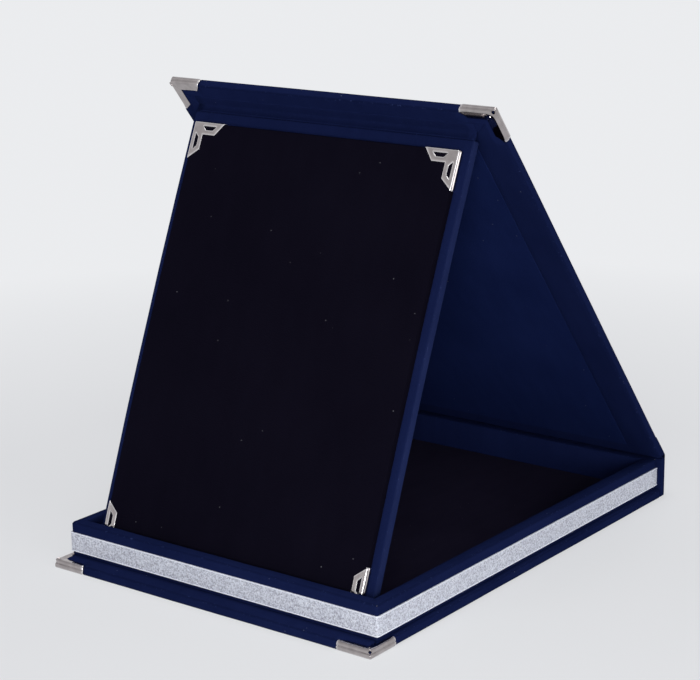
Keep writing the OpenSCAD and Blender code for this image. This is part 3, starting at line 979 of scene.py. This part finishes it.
# %% The eight metal corners
BASE_METAL = {"flaps": (mm(4.9, 4.9), mm(4.9, 2.9)), "step": WALL_STEP, "bite": BASE_BITE,
              "slope": 0.09, "groove": 2.4 * MM, "dip": 0.22 * MM}
LID_METAL = {"flaps": (mm(5.4, 5.4), mm(5.4, 5.4)), "step": 0, "bite": LID_BITE,
             "slope": 0, "groove": 1.9 * MM, "dip": 0.22 * MM}
PLAQUE_METAL = {"flaps": (), "step": 0, "bite": 0, "slope": 0, "groove": 1.15 * MM, "dip": 0.28 * MM}
PROUD, FOOT_OUT = mm(0.15, 0.5)

for side, label in ((-1, "left"), (1, "right")):
    low, high = span(flat_turn, f"base_corner_{label}")
    leg = high.x - low.x
    for start, turn, body, end, sizes in (("base_corner", flat_turn, "case", -1, BASE_METAL),
                                          ("lid_corner", lid_turn, "lid", 1, LID_METAL),
                                          ("plaque_corner_bottom", panel_turn, "easel", -1, PLAQUE_METAL),
                                          ("plaque_corner_top", panel_turn, "easel", 1, PLAQUE_METAL)):
        node = f"{start}_{label}"
        low, high = span(turn, node)
        corner = [low.x if side < 0 else high.x, low.y if end < 0 else high.y, low.z]
        depth, shape = high.z - low.z, None
        if sizes is PLAQUE_METAL:
            corner[1] -= FOOT_OUT if end < 0 else 0
            corner[2] = high.z + PROUD
            depth, shape = depth + PROUD, bowed
        ways = (-side, -end, 1 if shape else -1)
        piece = metal_corner(node.replace("corner", "metal"), turn, corner, ways,
                             Sheet(leg, depth, **sizes), shape)
        dress(piece, nickel, "nickel", body, node)

# %% [markdown]
# ## Recipes that follow a path
# The ribbon, its woven edges and its glitter all follow one path round the tray, from the spine
# round the front to the spine again. Geometry nodes do that: a path goes in, named sizes go in,
# and the piece comes out. The result is kept as a plain mesh.

# %% Helpers for recipes
def recipe(name, *labels):
    """An empty geometry recipe with named inputs: gives it, the inputs, and the path as an upright curve."""
    tree = bpy.data.node_groups.new(name, "GeometryNodeTree")
    tree.interface.new_socket("Path", in_out="INPUT", socket_type="NodeSocketGeometry")
    for label in labels:
        kind = "NodeSocketInt" if label == "Seed" else "NodeSocketFloat"
        tree.interface.new_socket(label, in_out="INPUT", socket_type=kind)
    tree.interface.new_socket("Piece", in_out="OUTPUT", socket_type="NodeSocketGeometry")
    given = tree.nodes.new("NodeGroupInput").outputs
    line = add(tree, "GeometryNodeMeshToCurve", Mesh=given["Path"])
    line = add(tree, "GeometryNodeSetCurveNormal", {"mode": "Z_UP"}, Curve=line.outputs[0])
    return tree, given, line.outputs[0]


def sweep(tree, line, profile, caps=True):
    """A profile carried along a curve."""
    return add(tree, "GeometryNodeCurveToMesh", Curve=line, Profile_Curve=profile.outputs[0],
               Fill_Caps=caps).outputs[0]


def finish_recipe(tree, geometry, material):
    """Makes instances real, gives the finish and hands the piece out."""
    real = add(tree, "GeometryNodeRealizeInstances", Geometry=geometry)
    painted = add(tree, "GeometryNodeSetMaterial", Geometry=real.outputs[0])
    painted.inputs["Material"].default_value = material
    add(tree, "NodeGroupOutput", Piece=painted.outputs[0])


def follow(name, tree, line, **values):
    """Runs a recipe along a line of points and keeps the result as a plain mesh."""
    mesh = bpy.data.meshes.new(name)
    mesh.from_pydata(line, [(i, i + 1) for i in range(len(line) - 1)], [])
    piece = put(name, mesh)
    modifier = piece.modifiers.new(name, "NODES")
    modifier.node_group = tree
    for item in tree.interface.items_tree:
        key = item.name.replace(" ", "_")
        if item.in_out == "INPUT" and key in values:
            modifier[item.identifier] = values[key]
    return baked(piece)

# %% [markdown]
# The path is read from the ribbon's solid and the tray: straight along a side, round the corner
# in a small arc, and along half the front. The other half is its mirror image.

# %% The path round the tray
ribbon_low, ribbon_high = map(Vector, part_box("glitter_ribbon"))
ribbon_wide = ribbon_high.z - ribbon_low.z
ribbon_mid = (ribbon_high.z + ribbon_low.z) / 2
ribbon_thick = tray_low.x - ribbon_low.x


def round_the_tray(off, rounding=0.7 * MM, step=4 * MM):
    """The path round the tray at some distance off its walls."""
    x, y = tray_low.x - off, tray_low.y - off
    r = rounding + off
    line = dense([(x, ribbon_high.y), (x, y + r)], step)
    line += [(x + r - r * math.cos(a), y + r - r * math.sin(a))
             for a in (QUARTER * i / 7 for i in range(1, 8))]
    line += dense([line[-1], (0, y)], step)[1:]
    half = [(px, py, ribbon_mid) for px, py in line]
    return half + [(-px, py, pz) for px, py, pz in half[-2::-1]]


print("ribbon in mm:", [round(size / MM, 2) for size in (ribbon_wide, ribbon_thick)])

# %% [markdown]
# ## The glitter ribbon
# A woven ribbon is glued round the tray. Its flat band is a thin rectangle carried along the
# path, which keeps it the same all the way round both corners.

# %% Band of the ribbon
tree, given, line = recipe("ribbon band", "Width", "Thickness")
profile = add(tree, "GeometryNodeCurvePrimitiveQuadrilateral",
              Width=given["Thickness"], Height=given["Width"])
finish_recipe(tree, sweep(tree, line, profile), silver)
ribbon = follow("ribbon_band", tree, round_the_tray(ribbon_thick / 2),
                Width=ribbon_wide, Thickness=ribbon_thick)
ribbon.data.set_sharp_from_angle(angle=math.radians(50))
dress(ribbon, None, "glitter", "case", "glitter_ribbon")

# %% [markdown]
# Its two edges are bright threads: one round cord is carried along the path, and two copies of
# it are moved up and down to the edges.

# %% Woven edges
tree, given, line = recipe("ribbon edges", "Apart", "Radius")
profile = add(tree, "GeometryNodeCurvePrimitiveCircle", Resolution=10, Radius=given["Radius"])
cord = sweep(tree, line, profile)
both = tree.nodes.new("GeometryNodeJoinGeometry")
for way in (-0.5, 0.5):
    rise = add(tree, "ShaderNodeCombineXYZ", Z=times(tree, given["Apart"], way))
    moved = add(tree, "GeometryNodeTransform", Geometry=cord, Translation=rise.outputs[0])
    tree.links.new(moved.outputs[0], both.inputs[0])
finish_recipe(tree, both.outputs[0], thread)
selvedges = follow("ribbon_selvedges", tree, round_the_tray(ribbon_thick - 0.05 * MM),
                   Apart=ribbon_wide - 0.6 * MM, Radius=0.29 * MM)
dress(selvedges, None, "glitter", "case")

# %% [markdown]
# Between the edges the ground is strewn with flakes that lie at slightly different angles, which
# makes it sparkle. Points are strewn on a strip of the ribbon's width, and each gets one small
# flat cone, turned, tilted and sized at random. A random number, the value named glint, goes
# with each flake and paints its tone, a painted glint. A bump pattern would not throw single sparks.

# %% Glitter flakes
FLAKES_PER_SQUARE_METRE = 1.5e6
tree, given, line = recipe("ribbon glitter", "Width", "Flakes per square metre", "Flake radius", "Seed")
half_width = times(tree, given["Width"], 0.5)
low_end = add(tree, "ShaderNodeCombineXYZ", Y=times(tree, half_width, -1.0))
high_end = add(tree, "ShaderNodeCombineXYZ", Y=half_width)
profile = add(tree, "GeometryNodeCurvePrimitiveLine", Start=low_end.outputs[0], End=high_end.outputs[0])
strewn = add(tree, "GeometryNodeDistributePointsOnFaces", Mesh=sweep(tree, line, profile, caps=False),
             Density=given["Flakes per square metre"], Seed=given["Seed"])
tilt = add(tree, "FunctionNodeRandomValue", {"data_type": "FLOAT_VECTOR"}, Seed=given["Seed"],
           _0=(-0.55, -0.55, -3.1), _1=(0.55, 0.55, 3.1))
turned = add(tree, "FunctionNodeRotateRotation", {"rotation_space": "LOCAL"},
             Rotation=strewn.outputs["Rotation"], Rotate_By=tilt.outputs[0])
size = add(tree, "FunctionNodeRandomValue", {"data_type": "FLOAT"}, Seed=given["Seed"], _2=0.6, _3=1.3)
flake = add(tree, "GeometryNodeMeshCone", Vertices=4, Radius_Top=0.0, Radius_Bottom=given["Flake radius"],
            Depth=times(tree, given["Flake radius"], 0.35))
flakes = add(tree, "GeometryNodeInstanceOnPoints", Points=strewn.outputs["Points"],
             Instance=flake.outputs["Mesh"], Rotation=turned.outputs[0], Scale=size.outputs[1])
# painted glint: a random tone for each flake
glint = add(tree, "FunctionNodeRandomValue", {"data_type": "FLOAT"}, Seed=7)
marked = add(tree, "GeometryNodeStoreNamedAttribute", {"data_type": "FLOAT", "domain": "INSTANCE"},
             Geometry=flakes.outputs[0], Name="glint", Value=glint.outputs[1])
finish_recipe(tree, marked.outputs[0], glitter)
sparkle = follow("ribbon_glitter", tree, round_the_tray(ribbon_thick), Width=ribbon_wide - 1.5 * MM,
                 Flakes_per_square_metre=FLAKES_PER_SQUARE_METRE, Flake_radius=0.27 * MM, Seed=11)
dress(sparkle, None, "glitter", "case")

# %% [markdown]
# ## The two cloth hinges
# Both hinges are strips of the same velvet, glued to the board on one side and to the next board
# on the other. A strip is drawn as a section from the side, an outer and an inner line, and drawn
# out across the box.

# %% Cloth strips
def strip(name, outer, inner, half_width):
    """Cloth between two lines in the y-z plane, drawn out across the box."""
    cells, count = 36, len(outer)
    ring = [*outer, *reversed(inner)]
    turns = len(ring)
    points = [(-half_width + 2 * half_width * j / cells, p.x, p.y) for j in range(cells + 1) for p in ring]
    faces = [(at + i, at + (i + 1) % turns, at + turns + (i + 1) % turns, at + turns + i)
             for at in range(0, cells * turns, turns) for i in range(turns)]
    for first in (0, cells * turns):
        faces += [(first + i, first + i + 1, first + turns - 2 - i, first + turns - 1 - i)
                  for i in range(count - 1)]
    # every point is marked a little bent, which gives the strip a little painted shade and a few painted tuft
    # highlights
    made = make_mesh(name, points, faces, Matrix.Identity(3), [0.2] * len(points))
    dress(made, velvet, "velvet", None)
    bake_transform(made)
    return made


hinges = {joint["name"]: Vector(joint["pos_m"][1:]) for joint in frame["joints"]}
lid_pivot, panel_pivot = hinges["lid_hinge"], hinges["easel_hinge"]
lid_along, lid_in = (Vector(lid_turn.col[i][1:]) for i in (1, 2))
panel_along, panel_front = (Vector(panel_turn.col[i][1:]) for i in (1, 2))
print("hinge lines in mm:", [round(c / MM, 2) for c in (*lid_pivot, *panel_pivot)])

# %% [markdown]
# The strip at the back runs up the whole spine, round the hinge line and a little way up the
# lid. It stands proud of the boards by its own thickness and sinks into them at both ends.

# %% The strip between spine and lid
# Steps up the spine and along the lid, as (place, how proud), in mm.
SPINE_STEPS = ((0.5, -0.15), (0.8, 0.05), (1.4, 0.17), *((z, 0.2) for z in (4, 8, 12, 16, 19, 21.2)))
LID_STEPS = ((2.2, 0.2), (5, 0.2), (9, 0.16), (13, 0.09), (15, 0.04), (15.6, -0.04))
spine_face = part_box("spine_cover")[1][1]
reach = spine_face - lid_pivot.x
fall = math.atan2(-lid_in.y, -lid_in.x)
outer, inner = [], []
for z, proud in SPINE_STEPS:
    outer.append(Vector((spine_face + proud * MM, z * MM)))
    inner.append(Vector((spine_face - 0.5 * MM, z * MM)))
for k in range(6):
    way = Vector((math.cos(fall * k / 5), math.sin(fall * k / 5)))
    outer.append(lid_pivot + way * (reach + 0.2 * MM))
    inner.append(lid_pivot - way * 1.5 * MM)
for s, proud in LID_STEPS:
    outer.append(lid_pivot - lid_in * (reach + proud * MM) + lid_along * s * MM)
    inner.append(lid_pivot - lid_in * (reach - 0.5 * MM) + lid_along * s * MM)
lid_strip = strip("lid_hinge_strip", outer, inner, base_high.x - 0.1 * MM)
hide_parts("lid_hinge_cloth")

# %% [markdown]
# The strip under the lid leaves the lining a little before the panel's hinge line and bridges
# the gap to the panel's top edge, with a shallow valley between, as slack cloth has.

# %% The strip between lid and panel
drop = panel_pivot.dot(lid_in) - lining_high.z
face = panel_high.z - panel_pivot.dot(panel_front)
gap = panel_pivot.dot(panel_along) - panel_high.y
landing = panel_pivot + lid_along * 3.4 * MM - lid_in * (drop - 0.4 * MM)
panel_edge = panel_pivot + panel_front * (face - 0.15 * MM) - panel_along * (gap - 0.05 * MM)
valley = (landing + panel_edge) / 2 + (panel_pivot - landing).normalized() * 0.4 * MM
outer, inner = [], []
for s, proud in ((9.0, 0.02), (8.7, 0.3), (8.0, 0.3), (6.8, 0.3), (5.5, 0.3), (4.4, 0.3)):
    outer.append(panel_pivot + lid_along * s * MM - lid_in * (drop - proud * MM))
    inner.append(panel_pivot + lid_along * s * MM - lid_in * (drop + 0.05 * MM))
outer += [landing, landing.lerp(valley, 0.6), valley, valley.lerp(panel_edge, 0.5), panel_edge]
inner += [landing - lid_in * 0.45 * MM] + [p.lerp(panel_pivot, 0.3) for p in outer[-4:-1]]
inner.append(panel_pivot + panel_front * (face - 1.2 * MM) - panel_along * (gap + 0.6 * MM))
panel_strip = strip("panel_hinge_strip", outer, inner, panel_high.x - 0.5 * MM)
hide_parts("easel_hinge_cloth")

# %% [markdown]
# ## The camera
# The camera was found from the box itself: its turn, height, tilt and distance are those at
# which the solid's corners fall on the corners in the photograph.

# %% Camera
AZIMUTH, ELEVATION, LEAN = (math.radians(a) for a in (37.211, 14.925, 0.710))
FOCAL = 2049.6 / 700
AIM_X, AIM_Y, AWAY = -0.01187, 0.09945, 1.07286
level = math.cos(ELEVATION)
back = Vector((math.sin(AZIMUTH) * level, -math.cos(AZIMUTH) * level, math.sin(ELEVATION)))
right = Vector((math.cos(AZIMUTH), math.sin(AZIMUTH), 0))
up = back.cross(right)
cam_x = right * math.cos(LEAN) - up * math.sin(LEAN)
cam_y = right * math.sin(LEAN) + up * math.cos(LEAN)
camera = put("camera", bpy.data.cameras.new("camera"))
camera.matrix_world = Matrix.Translation(back * AWAY + cam_x * AIM_X + cam_y * AIM_Y) @ Matrix(
    (cam_x, cam_y, back)).transposed().to_4x4()
camera.data.sensor_fit = "HORIZONTAL"
camera.data.lens = FOCAL * camera.data.sensor_width
bpy.context.scene.camera = camera
print("lens in mm:", round(camera.data.lens, 1))

# %% [markdown]
# ## Lamps
# Three soft lamps light the box at a plain level, so that colours look as they were written. The
# key lamp stands low, so its light is held together, or it would burn a white pool into the
# floor. The side lamp reaches in under the lid.

# %% Lamps
def area_lamp(name, place, target, size, power, spread=180):
    lamp = bpy.data.lights.new(name, "AREA")
    lamp.shape, lamp.size, lamp.energy, lamp.spread = "DISK", size, power, math.radians(spread)
    holder = put(name, lamp)
    holder.location = place
    holder.rotation_euler = (Vector(target) - Vector(place)).to_track_quat("-Z", "Y").to_euler()
    print(f"{name} lamp: {power} W from {place}")


area_lamp("key", (0.72, -1.01, 0.28), (0, 0, 0.1), 0.5, 2.7, spread=110)
area_lamp("top", (0.1, -0.3, 2.2), (0, 0, 0.1), 1.2, 17)
area_lamp("side", (1.5, -0.4, 0.5), (0, 0, 0.08), 0.9, 4.7)

# %% [markdown]
# ## Sky and floor
# A pale sky and a pale floor are seen by the camera and by reflections, while the light that
# they throw on the box stays weak. In the metal the sky is dimmer overhead, which draws its
# creases.

# %% Sky
def looks(tree):
    """Two switches: 1 for rays that look straight at a thing, and 1 for rays that see it in a mirror."""
    path = tree.nodes.new("ShaderNodeLightPath").outputs
    return maths(tree, "MAXIMUM", path["Is Camera Ray"], path["Is Transmission Ray"]), path["Is Glossy Ray"]


SKY_LIGHT, SKY_SEEN = (0.29, 0.29, 0.305), (0.80, 0.81, 0.83)
sky = bpy.data.worlds.new("studio")
bpy.context.scene.world = sky
sky.use_nodes = True
tree = sky.node_tree
straight, mirrored = looks(tree)
way = tree.nodes.new("ShaderNodeTexCoord").outputs["Generated"]
height = add(tree, "ShaderNodeSeparateXYZ", _0=way).outputs["Z"]
ceiling = ramp(tree, height, (0.0, (0.88, 0.88, 0.90)), (0.35, (0.76, 0.76, 0.78)), (0.8, (0.56, 0.56, 0.58)))
tint = mix(tree, mirrored, mix(tree, straight, SKY_LIGHT, SKY_SEEN), ceiling)
tree.links.new(tint, tree.nodes["Background"].inputs["Color"])

# %% [markdown]
# The floor keeps the shadow of the box near by, and is an even pale sheet farther off, where it
# gives its own light to the camera. One wide square is enough, as its paper is only a colour.

# %% Floor
SPREAD = 4
NEAR_SHADOW, EVEN, NEAR_SHARE, MIRROR_SHARE = 0.25, 0.65, 0.6, 0.65
ground = bpy.data.meshes.new("ground")
corners = [(x * SPREAD, y * SPREAD, 0) for x, y in ((-1, -1), (1, -1), (1, 1), (-1, 1))]
ground.from_pydata(corners, [], [(0, 1, 2, 3)])
ground_piece = put("ground", ground)
paper, tree, shader, place = new_material("pale paper", roughness=1.0, specular=0.0)
tree.links.new(ramp(tree, grain(tree, place, 0.4, 2), (0.3, (0.74, 0.75, 0.77)), (0.7, (0.78, 0.79, 0.81))),
               shader.inputs["Base Color"])
glow = add(tree, "ShaderNodeEmission", Color=(0.83, 0.84, 0.86, 1))
reach = add(tree, "ShaderNodeVectorMath", {"operation": "LENGTH"}, _0=place).outputs["Value"]
far = add(tree, "ShaderNodeMapRange", Value=reach, From_Min=NEAR_SHADOW, From_Max=EVEN,
          To_Min=NEAR_SHARE, To_Max=1.0)
straight, mirrored = looks(tree)
share = maths(tree, "ADD", times(tree, straight, far.outputs[0]), times(tree, mirrored, MIRROR_SHARE))
shown = add(tree, "ShaderNodeMixShader", _0=share, _1=shader.outputs[0], _2=glow.outputs[0])
tree.links.new(shown.outputs[0], tree.nodes["Material Output"].inputs["Surface"])
ground.materials.append(paper)
bpy.context.scene.view_settings.view_transform = "Standard"
print("floor:", 2 * SPREAD, "m wide")
